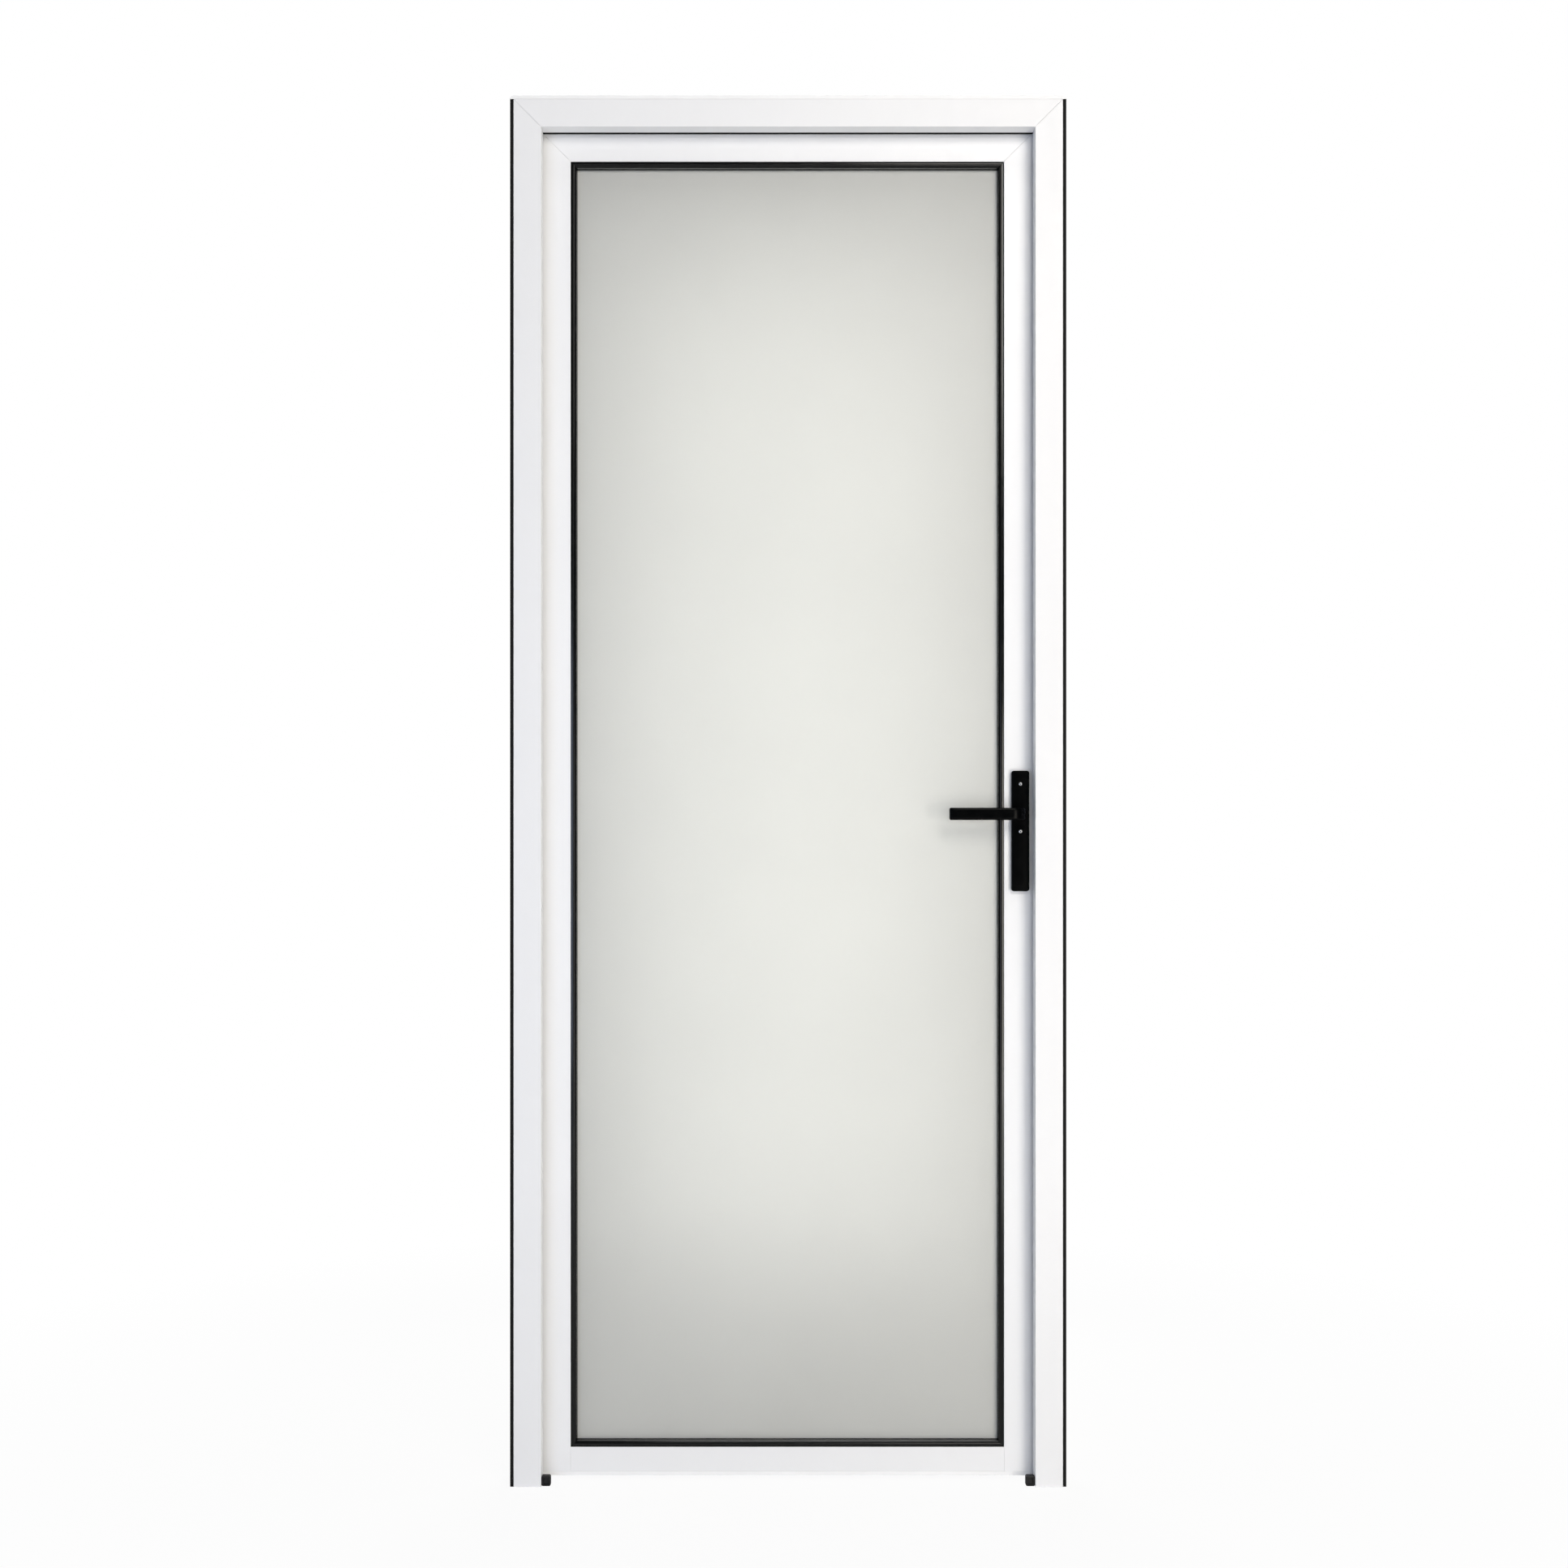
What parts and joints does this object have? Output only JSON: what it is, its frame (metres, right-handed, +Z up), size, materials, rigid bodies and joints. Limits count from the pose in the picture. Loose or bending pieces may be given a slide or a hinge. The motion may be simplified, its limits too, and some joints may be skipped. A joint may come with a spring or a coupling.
{
  "type": "glazed bathroom door",
  "caption": "Glazed bathroom door: white hollow aluminium frame and leaf, one frosted pane in black beads, black lever handle, lift-off hinges on the back.",
  "frame": {"origin": "on the hinge jamb's wall face, at floor level, half way through the frame's depth", "axes": "+X from the hinge jamb to the lock jamb, +Y from the front (the side with the stop) to the back, +Z up"},
  "size_m": [0.84, 0.121, 2.1],
  "materials": {
    "frame_white": "white powder coat",
    "leaf_white": "white powder coat",
    "cap_strip_white": "white extruded plastic",
    "strip_white": "white extruded plastic",
    "seal_black": "black extruded rubber",
    "block_black": "black moulded plastic",
    "bead_black": "black anodised, satin",
    "frosted_glass": "satin etched on the back, smooth in front",
    "handle_black": "satin black coat",
    "hinge_black": "satin black coat",
    "lock_steel": "brushed"
  },
  "bodies": {
    "frame": {"hinge_jamb": "frame_white", "lock_jamb": "frame_white", "head": "frame_white", "hinge_jamb_edge_seal": "seal_black", "lock_jamb_edge_seal": "seal_black", "head_cap_strip": "cap_strip_white", "hinge_stop_seal": "seal_black", "lock_stop_seal": "seal_black", "head_stop_seal": "seal_black", "hinge_foot_block": "block_black", "lock_foot_block": "block_black", "strike_plate": "lock_steel", "hinge_lower_frame_half": "hinge_black", "hinge_middle_frame_half": "hinge_black", "hinge_upper_frame_half": "hinge_black"},
    "leaf": {"leaf_hinge_stile": "leaf_white", "leaf_lock_stile": "leaf_white", "leaf_top_rail": "leaf_white", "leaf_bottom_rail": "leaf_white", "leaf_bottom_strip": "strip_white", "front_bead_left": "bead_black", "front_bead_right": "bead_black", "front_bead_top": "bead_black", "front_bead_bottom": "bead_black", "back_bead_left": "bead_black", "back_bead_right": "bead_black", "back_bead_top": "bead_black", "back_bead_bottom": "bead_black", "front_glazing_gasket": "seal_black", "back_glazing_gasket": "seal_black", "glass_pane": "frosted_glass", "front_handle_plate": "handle_black", "back_handle_plate": "handle_black", "lock_faceplate": "lock_steel", "lock_case": "lock_steel", "latch_bolt": "lock_steel", "hinge_lower_leaf_half": "hinge_black", "hinge_middle_leaf_half": "hinge_black", "hinge_upper_leaf_half": "hinge_black"},
    "lever_set": {"front_lever": "handle_black", "back_lever": "handle_black", "spindle": "lock_steel"}
  },
  "joints": [
    {"name": "leaf_swing", "type": "hinge", "parent": "frame", "child": "leaf", "pos_m": [0.0355, 0.042, 0], "axis": [0, 0, 1], "range_deg": [0, 110]},
    {"name": "lever_turn", "type": "hinge", "parent": "leaf", "child": "lever_set", "pos_m": [0.774, 0.0175, 1.0157], "axis": [0, -1, 0], "range_deg": [0, 45], "stiffness_Nm_per_rad": 1.2, "springref_deg": -34.38}
  ]
}
